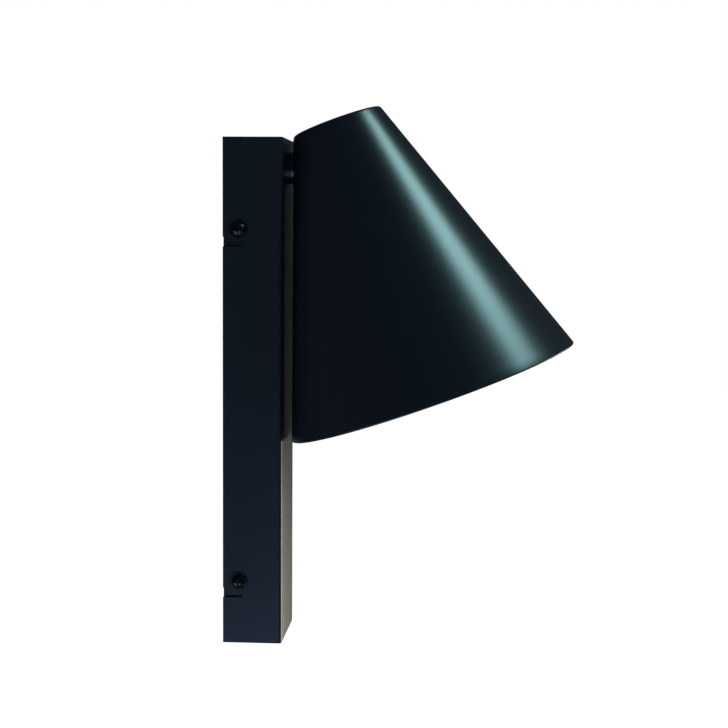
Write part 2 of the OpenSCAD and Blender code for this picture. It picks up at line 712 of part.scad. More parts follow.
wall_bracket();
tab_nuts();
housing_cover();
cover_screws();
cover_screw_washers();
cable_entry_bush();
terminal_block();
terminal_barrels();
terminal_screws();
terminal_block_screws();
cord_clamp();
cord_clamp_screws();
earth_screw();
earth_washer();
earth_lug();
earth_wire();
lamp_cable_box_side();
core_live();
core_neutral();
core_earth();
pivot_collar();
outer_friction_washer();
inner_friction_washer();
stop_pin();
pivot_stem();
pivot_saddle();
inner_saddle();
stop_washer();
wave_spring();
thrust_washer();
stem_lock_nuts();
shade_lock_washer();
shade_nut();
stem_end_bushes();
shade();
lampholder_bracket();
lampholder_nipple();
nipple_nut();
lampholder_cap();
lampholder_insulator();
lampholder_shell();
lampholder_contact();
lampholder_skirt();
lamp_cable_shade_side();
bulb_screw_cap();
bulb_insulator();
bulb_contact();
bulb_housing();
bulb_globe();
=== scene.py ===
# %% [markdown]
# # A wall light with a conical shade that swivels
# This lesson dresses a finished mechanical model. The frame holds every part at its real place
# and size, in metres: the wall is the plane y = 0, the light stands out towards -Y and +Z is up.
# We only give the parts their finish, and rebuild the ones whose looks need a finer mesh than
# the mechanical model carries.

# %% Load the frame
import json
from math import cos, pi, radians, sin, tan

import bmesh
import bpy
from mathutils import Matrix, Vector


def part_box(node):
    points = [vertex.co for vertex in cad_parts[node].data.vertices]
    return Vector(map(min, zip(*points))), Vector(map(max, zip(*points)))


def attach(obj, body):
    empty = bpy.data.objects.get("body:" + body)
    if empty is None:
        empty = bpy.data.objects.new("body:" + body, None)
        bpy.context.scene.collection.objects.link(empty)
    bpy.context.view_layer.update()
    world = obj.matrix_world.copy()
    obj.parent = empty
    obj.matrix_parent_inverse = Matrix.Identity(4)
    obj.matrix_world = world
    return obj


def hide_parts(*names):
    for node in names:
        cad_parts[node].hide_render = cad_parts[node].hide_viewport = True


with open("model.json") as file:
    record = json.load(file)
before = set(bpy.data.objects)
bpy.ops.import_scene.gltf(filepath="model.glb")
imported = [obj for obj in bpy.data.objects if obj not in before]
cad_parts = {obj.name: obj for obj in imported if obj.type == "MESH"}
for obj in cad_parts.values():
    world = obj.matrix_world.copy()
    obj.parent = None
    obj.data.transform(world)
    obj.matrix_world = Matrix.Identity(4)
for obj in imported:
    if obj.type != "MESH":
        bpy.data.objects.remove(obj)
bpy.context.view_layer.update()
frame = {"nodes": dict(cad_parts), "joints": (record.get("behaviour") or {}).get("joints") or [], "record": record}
nodes = frame["nodes"]
mm = 0.001
print("parts in the frame:", len(nodes))

# %% [markdown]
# ## The camera
# The light is seen from its left side, slightly from the front and a little from above, with a
# long lens, so the housing keeps nearly parallel edges. The camera looks at a point between the
# housing and the shade. A lens of about 80 mm on a full-frame sensor gives this perspective.

# %% Camera
camera_data = bpy.data.cameras.new("side_camera")
camera_data.lens = 79.5
camera = bpy.data.objects.new("side_camera", camera_data)
bpy.context.scene.collection.objects.link(camera)
camera.location = (-0.9659, -0.1473, 0.0989)
look_at = Vector((0.0, -0.0814, 0.0155))
roll = Matrix.Rotation(radians(0.38), 4, "Z")
aim = (look_at - camera.location).to_track_quat("-Z", "Y").to_matrix().to_4x4()
camera.matrix_world = Matrix.Translation(camera.location) @ aim @ roll
bpy.context.scene.camera = camera
print("camera distance in metres:", round((look_at - camera.location).length, 3))

# %% [markdown]
# ## Colours
# A colour is easiest to note as an sRGB hex value, but shaders work with linear light. This one
# function turns the first into the second.

# %% Hex colour to linear colour
def linear(hex_colour):
    channels = [int(hex_colour[i:i + 2], 16) / 255 for i in (1, 3, 5)]
    curve = [c / 12.92 if c <= 0.04045 else ((c + 0.055) / 1.055) ** 2.4 for c in channels]
    return (*curve, 1.0)


print("mid grey in linear light:", round(linear("#808080")[0], 3))

# %% [markdown]
# ## Building node trees
# Every finish is a small network. One function adds a node of any kind, sets its properties and
# fills its sockets: a value is stored on the socket, and an output of another node is linked.

# %% Add a node
def add_node(tree, kind, settings=None, **sockets):
    node = tree.nodes.new(kind)
    for key, value in (settings or {}).items():
        setattr(node, key, value)
    for key, value in sockets.items():
        place = int(key[1:]) if key[1:].isdigit() else key.replace("_", " ")
        socket = node.inputs[place]
        if isinstance(value, bpy.types.NodeSocket):
            tree.links.new(value, socket)
        else:
            socket.default_value = value
    return node


def start_material(name, **uniform):
    material = bpy.data.materials.new(name)
    material.use_nodes = True
    tree = material.node_tree
    shader = tree.nodes["Principled BSDF"]
    for key, value in uniform.items():
        shader.inputs[key.replace("_", " ")].default_value = value
    place = add_node(tree, "ShaderNodeTexCoord").outputs["Object"]
    return material, tree, shader, place


# The object coordinates are metres, so a noise scale of 1000 / size gives features of that size.
def grains_of(size_mm):
    return 1000.0 / size_mm


# %% [markdown]
# ## Satin powder coat
# The housing and the shade are sheet metal with a baked polyester powder coat, near black with a
# blue cast. The powder melts into a film with a soft orange peel about 2 mm across, and a fine
# grain that breaks up the edge of a highlight. The real grain is near 0.3 mm; it is drawn at
# 0.7 mm so that it shows. Depth comes from two bumps, and colour and roughness drift slightly.

# %% Powder coat
def powder_coat():
    material, tree, shader, place = start_material(
        "satin_powder_coat_blue_black", IOR=1.5, Specular_IOR_Level=0.5)
    shader.inputs["Specular Tint"].default_value = linear("#c3dcf2")
    grain = add_node(tree, "ShaderNodeTexNoise", Vector=place, Scale=grains_of(0.7), Detail=3.0)
    peel = add_node(tree, "ShaderNodeTexNoise", Vector=place, Scale=grains_of(2.4), Detail=2.0)
    drift = add_node(tree, "ShaderNodeTexNoise", Vector=place, Scale=grains_of(60), Detail=2.0)
    tone = add_node(tree, "ShaderNodeMix", {"data_type": "RGBA"}, _0=drift.outputs["Fac"],
                    _6=linear("#0d1219"), _7=linear("#10161f"))
    speckle = add_node(tree, "ShaderNodeMix", {"data_type": "RGBA"}, _0=grain.outputs["Fac"],
                       _6=tone.outputs[2], _7=linear("#161d27"))
    tree.links.new(speckle.outputs[2], shader.inputs["Base Color"])
    gloss = add_node(tree, "ShaderNodeMapRange", Value=grain.outputs["Fac"], From_Min=0.3,
                     From_Max=0.7, To_Min=0.28, To_Max=0.32)
    tree.links.new(gloss.outputs[0], shader.inputs["Roughness"])
    waves = add_node(tree, "ShaderNodeBump", Height=peel.outputs["Fac"], Strength=0.5,
                     Distance=0.02 * mm)
    bumps = add_node(tree, "ShaderNodeBump", Height=grain.outputs["Fac"], Strength=0.5,
                     Distance=0.012 * mm, Normal=waves.outputs["Normal"])
    tree.links.new(bumps.outputs["Normal"], shader.inputs["Normal"])
    return material


coat = powder_coat()
print("made", coat.name)

# %% [markdown]
# ## White lining
# The inside of a directional shade is normally lacquered white, to throw the light down. It is
# a smooth sprayed enamel with faint mottling in tone and gloss.

# %% White lining
def white_lining():
    material, tree, shader, place = start_material("sprayed_white_lining", IOR=1.5)
    mottle = add_node(tree, "ShaderNodeTexNoise", Vector=place, Scale=grains_of(18), Detail=4.0)
    spray = add_node(tree, "ShaderNodeTexNoise", Vector=place, Scale=grains_of(1.2), Detail=2.0)
    tone = add_node(tree, "ShaderNodeMix", {"data_type": "RGBA"}, _0=mottle.outputs["Fac"],
                    _6=linear("#bdbab2"), _7=linear("#c8c5be"))
    tree.links.new(tone.outputs[2], shader.inputs["Base Color"])
    gloss = add_node(tree, "ShaderNodeMapRange", Value=mottle.outputs["Fac"], To_Min=0.38,
                     To_Max=0.5)
    tree.links.new(gloss.outputs[0], shader.inputs["Roughness"])
    bumps = add_node(tree, "ShaderNodeBump", Height=spray.outputs["Fac"], Strength=0.4,
                     Distance=0.02 * mm)
    tree.links.new(bumps.outputs["Normal"], shader.inputs["Normal"])
    return material


lining = white_lining()
print("made", lining.name)

# %% [markdown]
# ## Plated and bare metals
# Metals differ in colour, roughness and the marks that making left on them. Zinc plating is
# bluish with soft clouds, brass shows faint tarnish, nickel is warm and smooth, and the spring is
# oven-blued steel. One recipe covers them: clouds in the colour and roughness, and a fine bump.

# %% Metals
def worked_metal(name, light_hex, dark_hex, smooth, rough, cloud_mm, tooth_mm, depth_mm):
    material, tree, shader, place = start_material(name, Metallic=1.0)
    clouds = add_node(tree, "ShaderNodeTexNoise", Vector=place, Scale=grains_of(cloud_mm), Detail=4.0)
    tooth = add_node(tree, "ShaderNodeTexNoise", Vector=place, Scale=grains_of(tooth_mm), Detail=2.0)
    tone = add_node(tree, "ShaderNodeMix", {"data_type": "RGBA"}, _0=clouds.outputs["Fac"],
                    _6=linear(dark_hex), _7=linear(light_hex))
    tree.links.new(tone.outputs[2], shader.inputs["Base Color"])
    gloss = add_node(tree, "ShaderNodeMapRange", Value=clouds.outputs["Fac"], To_Min=smooth,
                     To_Max=rough)
    tree.links.new(gloss.outputs[0], shader.inputs["Roughness"])
    bumps = add_node(tree, "ShaderNodeBump", Height=tooth.outputs["Fac"], Strength=0.5,
                     Distance=depth_mm * mm)
    tree.links.new(bumps.outputs["Normal"], shader.inputs["Normal"])
    return material


zinc = worked_metal("clear_passivated_zinc", "#c9ced4", "#a4abb5", 0.22, 0.42, 2.5, 0.4, 0.01)
brass = worked_metal("drawn_brass", "#d8b45f", "#b08a3e", 0.2, 0.38, 3.0, 0.5, 0.01)
nickel = worked_metal("nickel_plated_shell", "#d2cdc3", "#b9b3a8", 0.16, 0.3, 4.0, 0.6, 0.008)
spring_steel = worked_metal("blued_spring_steel", "#59636f", "#3a4048", 0.28, 0.45, 2.0, 0.4, 0.01)
print("made", zinc.name, brass.name, nickel.name, spring_steel.name)

# %% [markdown]
# ## Black screws
# The cover screws are steel with a black zinc finish. It is glossier than the coat beside it, and
# it is rubbed through in small random patches, where lighter steel shows as small bright points.

# %% Black screw finish
def black_screw_steel():
    material, tree, shader, place = start_material("black_zinc_screw_steel", Metallic=0.75)
    wear = add_node(tree, "ShaderNodeTexNoise", Vector=place, Scale=grains_of(0.9), Detail=5.0)
    rubbed = add_node(tree, "ShaderNodeMapRange", Value=wear.outputs["Fac"], From_Min=0.5,
                      From_Max=0.72)
    tone = add_node(tree, "ShaderNodeMix", {"data_type": "RGBA"}, _0=rubbed.outputs[0],
                    _6=linear("#12161d"), _7=linear("#3c4650"))
    tree.links.new(tone.outputs[2], shader.inputs["Base Color"])
    gloss = add_node(tree, "ShaderNodeMapRange", Value=wear.outputs["Fac"], To_Min=0.2, To_Max=0.4)
    tree.links.new(gloss.outputs[0], shader.inputs["Roughness"])
    bumps = add_node(tree, "ShaderNodeBump", Height=wear.outputs["Fac"], Strength=0.4,
                     Distance=0.02 * mm)
    tree.links.new(bumps.outputs["Normal"], shader.inputs["Normal"])
    return material


screw_black = black_screw_steel()
print("made", screw_black.name)

# %% [markdown]
# ## Plastics, rubber and ceramic
# Moulded parts take the texture of their mould: an even fine bump and a colour that hardly
# changes. Soft ones scatter a little light under the skin. One recipe serves them all, and each
# call names the real material, its two nearly equal tones and the size of the mould texture.

# %% Moulded materials
def moulded(name, tone_a, tone_b, smooth, rough, texture_mm, depth_mm, soft=0.0, ior=1.5):
    material, tree, shader, place = start_material(
        name, IOR=ior, Subsurface_Weight=soft, Subsurface_Scale=1.5 * mm)
    shader.inputs["Subsurface Radius"].default_value = (1.0, 0.8, 0.6)
    patch = add_node(tree, "ShaderNodeTexNoise", Vector=place, Scale=grains_of(12), Detail=3.0)
    texture = add_node(tree, "ShaderNodeTexNoise", Vector=place, Scale=grains_of(texture_mm),
                       Detail=3.0)
    tone = add_node(tree, "ShaderNodeMix", {"data_type": "RGBA"}, _0=patch.outputs["Fac"],
                    _6=linear(tone_a), _7=linear(tone_b))
    tree.links.new(tone.outputs[2], shader.inputs["Base Color"])
    gloss = add_node(tree, "ShaderNodeMapRange", Value=texture.outputs["Fac"], To_Min=smooth,
                     To_Max=rough)
    tree.links.new(gloss.outputs[0], shader.inputs["Roughness"])
    bumps = add_node(tree, "ShaderNodeBump", Height=texture.outputs["Fac"], Strength=0.5,
                     Distance=depth_mm * mm)
    tree.links.new(bumps.outputs["Normal"], shader.inputs["Normal"])
    return material


phenolic = moulded("black_phenolic_moulding", "#17181b", "#1f2024", 0.3, 0.45, 0.5, 0.015, ior=1.6)
steatite = moulded("unglazed_steatite", "#d9d4c8", "#e4dfd4", 0.55, 0.75, 0.4, 0.03, soft=0.05)
polycarbonate = moulded("white_polycarbonate", "#e4e2dc", "#ecebe6", 0.28, 0.4, 0.6, 0.01,
                        soft=0.08, ior=1.58)
nylon = moulded("natural_nylon", "#d2cdbd", "#dcd8ca", 0.4, 0.55, 0.5, 0.015, soft=0.15, ior=1.53)
black_nylon = moulded("black_nylon", "#0b0c0e", "#121417", 0.4, 0.55, 0.5, 0.015, ior=1.53)
rubber = moulded("black_nitrile_rubber", "#151516", "#1d1d1e", 0.6, 0.78, 0.4, 0.03)
sheath = moulded("white_pvc_sheath", "#dedbd3", "#e6e4dd", 0.38, 0.5, 0.8, 0.02, soft=0.05)
pvc_brown = moulded("brown_pvc", "#5d3a24", "#6b452c", 0.35, 0.48, 0.6, 0.01)
pvc_blue = moulded("blue_pvc", "#2a64a4", "#3371b4", 0.35, 0.48, 0.6, 0.01)
pvc_green = moulded("green_pvc", "#3f8c3d", "#499a45", 0.35, 0.48, 0.6, 0.01)
pvc_yellow = moulded("yellow_pvc", "#d9c433", "#e2ce3e", 0.35, 0.48, 0.6, 0.01)
print("made the moulded materials")

# %% [markdown]
# ## Opal globe
# The bulb's globe is polycarbonate filled with a white diffuser. Light enters and spreads inside,
# so it looks milky with a soft gloss. Strong subsurface scattering gives that without making the
# shell see-through.

# %% Opal
opal = moulded("opal_polycarbonate", "#f3f0e8", "#f7f5ef", 0.22, 0.3, 1.0, 0.006, soft=0.6, ior=1.58)
opal.node_tree.nodes["Principled BSDF"].inputs["Subsurface Scale"].default_value = 4 * mm
print("made", opal.name)

# %% [markdown]
# ## Turning a mesh into a piece
# Each rebuilt piece moves with a body of the frame, stands for a part of the model and takes the
# finish it is given. This function does the bookkeeping in one place, and sets
# smooth shading with the creases kept.

# %% Make a piece from a mesh
body_of_node = {n: b for b, members in frame["record"]["behaviour"]["bodies"].items() for n in members}
slot_of_node = {s["node"]: s["material_slot"] for s in frame["record"]["subparts"]}


def make_piece(name, mesh, node_name, materials, crease=30):
    piece = bpy.data.objects.new(name, mesh)
    bpy.context.scene.collection.objects.link(piece)
    for material in materials:
        mesh.materials.append(material)
    if crease:
        mesh.shade_smooth()
        mesh.set_sharp_from_angle(angle=radians(crease))
    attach(piece, body_of_node[node_name])
    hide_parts(node_name)
    return piece


# %% [markdown]
# ## Rounding the edges of exact parts
# A mechanical model has knife edges. Real sheet is deburred and coated, and moulded parts have
# radii, so each edge catches a thin line of light. We copy a part's mesh, merge its coplanar
# triangles, round its sharp edges with the Bevel modifier and let it harden the normals, so flat
# faces stay flat. The bevel only takes material away, so the size is unchanged.

# %% Rounded copy
def apply_modifiers(piece):
    evaluated = piece.evaluated_get(bpy.context.evaluated_depsgraph_get())
    piece.data = bpy.data.meshes.new_from_object(evaluated)
    piece.modifiers.clear()


def rounded(node_name, radius_mm, *materials, segments=3, angle=32):
    shape = bmesh.new()
    shape.from_mesh(nodes[node_name].data)
    bmesh.ops.remove_doubles(shape, verts=shape.verts, dist=0.002 * mm)
    bmesh.ops.dissolve_limit(shape, angle_limit=radians(0.5), verts=shape.verts, edges=shape.edges)
    mesh = bpy.data.meshes.new(node_name + "_rounded")
    shape.to_mesh(mesh)
    shape.free()
    for layer in [a for a in mesh.attributes if a.name == "custom_normal"]:
        mesh.attributes.remove(layer)
    mesh.materials.clear()
    piece = make_piece(node_name + "_finished", mesh, node_name, materials, crease=0)
    mesh.shade_smooth()
    bevel = piece.modifiers.new("rounded_edges", "BEVEL")
    bevel.width = radius_mm * mm
    bevel.segments = segments
    bevel.limit_method = "ANGLE"
    bevel.angle_limit = radians(angle)
    bevel.harden_normals = True
    apply_modifiers(piece)
    print(piece.name, len(piece.data.polygons), "faces")


# %% [markdown]
# ## Housing, bracket and pivot rings
# The housing is one folded sheet, the bracket behind it another. Their cut edges are rounded by
# the coat to about 0.3 mm. The collar and the saddle are turned rings, coated with the rest.

# %% Coated metal parts
rounded("housing_cover", 0.35, coat)
rounded("wall_bracket", 0.25, coat)
rounded("pivot_collar", 0.3, coat)
rounded("pivot_saddle", 0.3, coat)

# %% [markdown]
# ## Screws and washers
# The pan heads are small, so their edges are rounded by a tenth of a millimetre only.

# %% Screws and washers
rounded("cover_screws", 0.1, screw_black, segments=2, angle=40)
rounded("cover_screw_washers", 0.15, screw_black)

# %% [markdown]
# ## Turned shapes
# Many parts are turned or spun: an outline rotated about an axis. The outline is a list of
# (radius, distance along the axis) in millimetres. Points on the axis become one vertex, and the
# quads between them can take a material each.

# %% Revolve an outline
def ring_of(shape, place, radius, along, turns):
    if radius < 1e-6:
        return [shape.verts.new(place @ Vector((0, 0, along * mm)))] * turns
    return [shape.verts.new(place @ Vector((radius * mm * cos(2 * pi * k / turns),
                                            radius * mm * sin(2 * pi * k / turns), along * mm)))
            for k in range(turns)]


def revolve(outline, place, turns=128, material_of=None):
    shape = bmesh.new()
    rings = [ring_of(shape, place, radius, along, turns) for radius, along in outline]
    for row, (upper, lower) in enumerate(zip(rings, rings[1:])):
        for k in range(turns):
            j = (k + 1) % turns
            corners = list(dict.fromkeys([upper[k], upper[j], lower[j], lower[k]]))
            face = shape.faces.new(corners)
            face.material_index = material_of(row) if material_of else 0
    bmesh.ops.recalc_face_normals(shape, faces=shape.faces)
    mesh = bpy.data.meshes.new("turned")
    shape.to_mesh(mesh)
    shape.free()
    return mesh


def arc(centre, radius, start, end, steps):
    angles = [radians(start + (end - start) * i / steps) for i in range(steps + 1)]
    return [(centre[0] + radius * cos(a), centre[1] + radius * sin(a)) for a in angles]


# %% [markdown]
# ## The shade
# The shade is a cone of 1.5 mm sheet, 180 mm across the rim and 55 mm across the closed top, with
# its side at 20 degrees to its axis. Its axis leans by the same 20 degrees, so the side nearest
# the housing stands upright. It could be taken from the model as it is, but the long highlight on
# it shows every facet, so it is turned again here in 256 steps, with a soft fold at the top and a
# round rim. Rows outside the rim's middle take the coat, rows inside take the white lining.

# %% Shade outline
HALF_ANGLE = 20
TOP_RADIUS = 27.5
RIM_RADIUS = 90
SHEET = 1.5
FOLD = 2.0
slope = tan(radians(HALF_ANGLE))
lean = cos(radians(HALF_ANGLE))
shade_length = (RIM_RADIUS - TOP_RADIUS) / slope


def side_radius(along, inset):
    return TOP_RADIUS + along * slope - inset / lean


def side_rows(start, end, inset, step=4):
    count = max(1, round(abs(end - start) / step))
    places = [start + (end - start) * i / count for i in range(1, count)]
    return [(side_radius(a, inset), a) for a in places]


fold_centre = (side_radius(FOLD, FOLD), FOLD)
rim_half = SHEET / 2
rim_centre = (side_radius(shade_length - rim_half, rim_half), shade_length - rim_half)
flat_top = [(r, 0) for r in (0, 8, 16, 22)]
outer_fold = arc(fold_centre, FOLD, -90, -HALF_ANGLE, 10)
outer_side = side_rows(FOLD, shade_length - 1, 0)
rim_edge = arc(rim_centre, rim_half, -HALF_ANGLE, 180 - HALF_ANGLE, 14)
inner_side = side_rows(shade_length - 1, FOLD, SHEET)
inner_fold = arc(fold_centre, FOLD - SHEET, -HALF_ANGLE, -90, 4)
inner_top = [(r, SHEET) for r in (20, 12, 0)]
outline = flat_top + outer_fold + outer_side + rim_edge + inner_side + inner_fold + inner_top
coated_rows = len(flat_top + outer_fold + outer_side) + len(rim_edge) // 2
print("shade outline points:", len(outline), "length along the axis:", round(shade_length, 1))

# %% [markdown]
# The shade's place comes from two facts: how far the near side is from the wall, which the frame
# says, and the height of that side's upper end above the middle of the wall screws. The hole for
# the pivot is cut with a Boolean, hidden under the saddle.

# %% Turn the shade and cut its hole
near_side = -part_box("shade")[1].y / mm
near_top = 151.2
top_depth = near_side + TOP_RADIUS * lean
top_height = near_top + TOP_RADIUS * sin(radians(HALF_ANGLE))
top_centre = Vector((0, -top_depth, top_height)) * mm
cone_place = Matrix.Translation(top_centre) @ Matrix.Rotation(radians(180 - HALF_ANGLE), 4, "X")
pivot_height = frame["joints"][0]["pos_m"][2]
pivot_place = Matrix.Translation((0, 0, pivot_height)) @ Matrix.Rotation(radians(90), 4, "X")

shade_mesh = revolve(outline, cone_place, 256, material_of=lambda row: int(row >= coated_rows))
shade = make_piece("shade_cone", shade_mesh, "shade", (coat, lining), crease=50)
hole_radius = 5.1
drill_start, drill_end = 36, 44
drill_outline = [(0, drill_start), (hole_radius, drill_start), (hole_radius, drill_end), (0, drill_end)]
drill_mesh = revolve(drill_outline, pivot_place, 48)
drill = bpy.data.objects.new("drill", drill_mesh)
bpy.context.scene.collection.objects.link(drill)
cut = shade.modifiers.new("pivot_hole", "BOOLEAN")
cut.operation = "DIFFERENCE"
cut.object = drill
apply_modifiers(shade)
bpy.data.objects.remove(drill)
print("shade faces:", len(shade.data.polygons))

# %% [markdown]
# ## Threads
# A thread is a groove that climbs as it turns. On a turned grid that is one cosine: the radius
# depends on the height plus the turn. The same function makes the fine thread of the hollow
# stem and the rolled thread of the bulb's screw cap.

# %% Threaded tube
def threaded_tube(place, start, end, radius, depth, pitch, bore, turns=72, flat=None):
    shape = bmesh.new()
    rows = max(2, round((end - start) / pitch * 8))
    rings = []
    for i in range(rows + 1):
        along = start + (end - start) * i / rows
        ring = []
        for k in range(turns):
            angle = 2 * pi * k / turns
            wave = 0.5 - 0.5 * cos(2 * pi * along / pitch - angle)
            r = radius - depth * wave
            x, y = r * cos(angle), r * sin(angle)
            if flat and flat[0] <= along <= flat[1]:
                y = min(y, flat[2])
            ring.append(shape.verts.new(place @ Vector((x * mm, y * mm, along * mm))))
        rings.append(ring)
    for along in (end, start):
        rings.append(ring_of(shape, place, bore, along, turns))
    for upper, lower in zip(rings, rings[1:] + rings[:1]):
        for k in range(turns):
            j = (k + 1) % turns
            shape.faces.new([upper[k], upper[j], lower[j], lower[k]])
    bmesh.ops.recalc_face_normals(shape, faces=shape.faces)
    mesh = bpy.data.meshes.new("threaded")
    shape.to_mesh(mesh)
    shape.free()
    return mesh


# %% [markdown]
# ## The hollow pivot stem
# The stem is a zinc-plated steel tube, 10 mm across with a 1 mm thread. It carries the shade and
# lets the cable through. The part of it inside the housing has a flat for the stop washer.

# %% Stem and nipple
stem_low, stem_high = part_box("pivot_stem")
stem_front, stem_back = -stem_low.y / mm, -stem_high.y / mm
tube = {"radius": 5.0, "depth": 0.35, "pitch": 1.0, "bore": 3.5}
flat_end, flat_height = 33.2, 4.4
stem_mesh = threaded_tube(pivot_place, stem_back, stem_front, **tube,
                          flat=(stem_back, flat_end, flat_height))
make_piece("pivot_stem_threaded", stem_mesh, "pivot_stem", (zinc,), crease=60)
nipple_start, nipple_end = 44.5, 55.0
nipple_mesh = threaded_tube(cone_place, nipple_start, nipple_end, **tube)
make_piece("lampholder_nipple_threaded", nipple_mesh, "lampholder_nipple", (zinc,), crease=60)
print("stem length in mm:", round(stem_front - stem_back, 1))

# %% [markdown]
# ## Lampholder
# The lampholder is moulded in black phenolic, with a fluted ring that is screwed on by hand.
# Moulded edges are rounder than cut metal, so these take 0.4 mm. The L-shaped bracket that holds
# it is bent strip, and its nuts are plain zinc-plated hexagons.

# %% Lampholder and its bracket
rounded("lampholder_cap", 0.3, phenolic, angle=25)
rounded("lampholder_skirt", 0.4, phenolic, angle=25)
rounded("lampholder_bracket", 0.3, zinc)
rounded("shade_nut", 0.12, zinc, segments=2)
rounded("nipple_nut", 0.12, zinc, segments=2)
rounded("shade_lock_washer", 0.08, zinc, segments=2)
rounded("inner_saddle", 0.15, zinc, segments=2)

# %% [markdown]
# ## The bulb
# A screw-in bulb with a round opal globe 45 mm across. The globe is turned with a real wall
# thickness, its neck is a separate white moulding, and the cap has a rolled thread of 3.6 mm
# pitch, which the model only stands in for with rings.

# %% Bulb
PITCH = 3.63
tip = 70.1
thread_top, thread_end = tip + 4, tip + 24
globe_radius = 22.5
globe_centre = tip + 78 - globe_radius
cap_mesh = threaded_tube(cone_place, thread_top - 1, thread_end, radius=13.3, depth=0.9,
                         pitch=PITCH, bore=11.6)
make_piece("bulb_screw_cap_rolled", cap_mesh, "bulb_screw_cap", (nickel,), crease=50)
globe_out = arc((0, globe_centre), globe_radius, 90, -32.2, 60)
globe_in = arc((0, globe_centre), globe_radius - 1, -33.9, 90, 50)
globe_mesh = revolve(globe_out + globe_in, cone_place, 128)
make_piece("bulb_globe_opal", globe_mesh, "bulb_globe", (opal,), crease=60)
rounded("bulb_housing", 0.25, polycarbonate, angle=40)
print("globe lowest point along the axis in mm:", globe_centre + globe_radius)

# %% [markdown]
# ## The lampholder's brass shell
# The bulb screws into a thin brass shell with the same rolled thread as its cap. The contact
# under it is a brass spring strip.

# %% Brass shell
shell_low = 67.5
shell_mesh = threaded_tube(cone_place, shell_low, shell_low + 20, radius=14.4, depth=0.3,
                           pitch=PITCH, bore=13.9)
make_piece("lampholder_shell_rolled", shell_mesh, "lampholder_shell", (brass,), crease=50)
rounded("lampholder_contact", 0.1, brass, segments=2)
rounded("lampholder_insulator", 0.3, steatite)

# %% [markdown]
# ## Cables and cores
# The round sheathed cable runs from the hollow stem to a clamp, and its three cores fan out to
# the terminal block. A route is a few points in millimetres; a smooth curve is laid through them
# and a circle is swept along it. The swept skin can carry two materials, so the earth cores get
# their green and yellow stripe.

# %% Sweep a circle along a route
def smooth_route(points, steps=10):
    dense = []
    for i in range(len(points) - 1):
        a, b, c, d = (Vector(points[max(0, min(j, len(points) - 1))]) for j in range(i - 1, i + 3))
        for k in range(steps):
            t = k / steps
            dense.append(0.5 * (2 * b + (c - a) * t + (2 * a - 5 * b + 4 * c - d) * t * t
                                + (3 * b - a - 3 * c + d) * t * t * t))
    return dense + [Vector(points[-1])]


def swept_tube(points, radius, sides=24, stripe_turn=0.0):
    path = smooth_route(points)
    shape = bmesh.new()
    rings, travelled = [], [0.0]
    for i, point in enumerate(path):
        along = (path[min(i + 1, len(path) - 1)] - path[max(i - 1, 0)]).normalized()
        across = along.cross(Vector((1, 0, 0))).normalized()
        other = along.cross(across)
        rings.append([shape.verts.new((point + radius * (cos(2 * pi * k / sides) * across
                                                         + sin(2 * pi * k / sides) * other)) * mm)
                      for k in range(sides)])
        if i:
            travelled.append(travelled[-1] + (point - path[i - 1]).length)
    for i, (first, second) in enumerate(zip(rings, rings[1:])):
        for k in range(sides):
            face = shape.faces.new([first[k], first[(k + 1) % sides],
                                    second[(k + 1) % sides], second[k]])
            share = (k / sides + travelled[i] * stripe_turn) % 1.0
            face.material_index = int(stripe_turn > 0 and share < 0.35)
    shape.faces.new(rings[0])
    shape.faces.new(rings[-1])
    bmesh.ops.recalc_face_normals(shape, faces=shape.faces)
    mesh = bpy.data.meshes.new("swept")
    shape.to_mesh(mesh)
    shape.free()
    return mesh


# %% Lamp cable
pivot_z = pivot_height / mm
bed = -4.2
cable_radius = 2.5
box_cable = [(0, -35, pivot_z), (0, -28, pivot_z), (0, -22, pivot_z), (0, -18, pivot_z - 0.2),
             (0.3, -12.5, 130.8), (2, -8, 126.2), (5, -5.4, 119.5), (9.5, bed, 111),
             (13, bed, 101), (14, bed, 90), (14, bed, 75), (14, bed, 60), (14, bed, 52),
             (14, bed, 45)]


def on_axis(along):
    spot = cone_place @ Vector((0, 0, along * mm)) / mm
    return (0, spot.y, spot.z)


shade_cable = [(0, -35.3, pivot_z), (0, -42, pivot_z), (0, -49, pivot_z), (0, -55, pivot_z + 0.1),
               (0, -62, pivot_z + 0.2), (0, -68.5, 131.3), (0, -74, 128), (0, -78, 123.2),
               on_axis(nipple_start), on_axis(50.5), on_axis(57.5)]
make_piece("box_cable", swept_tube(box_cable, cable_radius), "lamp_cable_box_side", (sheath,))
make_piece("shade_cable", swept_tube(shade_cable, cable_radius), "lamp_cable_shade_side", (sheath,))
print("cable points:", len(box_cable), len(shade_cable))

# %% [markdown]
# Each core leaves the sheath a little off its centre and ends in its own terminal. The stripe
# on an earth core turns once in 30 mm.

# %% Cores
def core_points(pole, dx, dy):
    return [(14 + dx, bed + dy, 44.5), (14 + dx, bed + dy, 43),
            (14 + 0.3 * dx + 0.25 * (pole - 14), -5.5 + dy, 37.5),
            (pole + 0.22 * (14 - pole), -7, 29), (pole, -8, 23), (pole, -8, 18), (pole, -8, 14)]


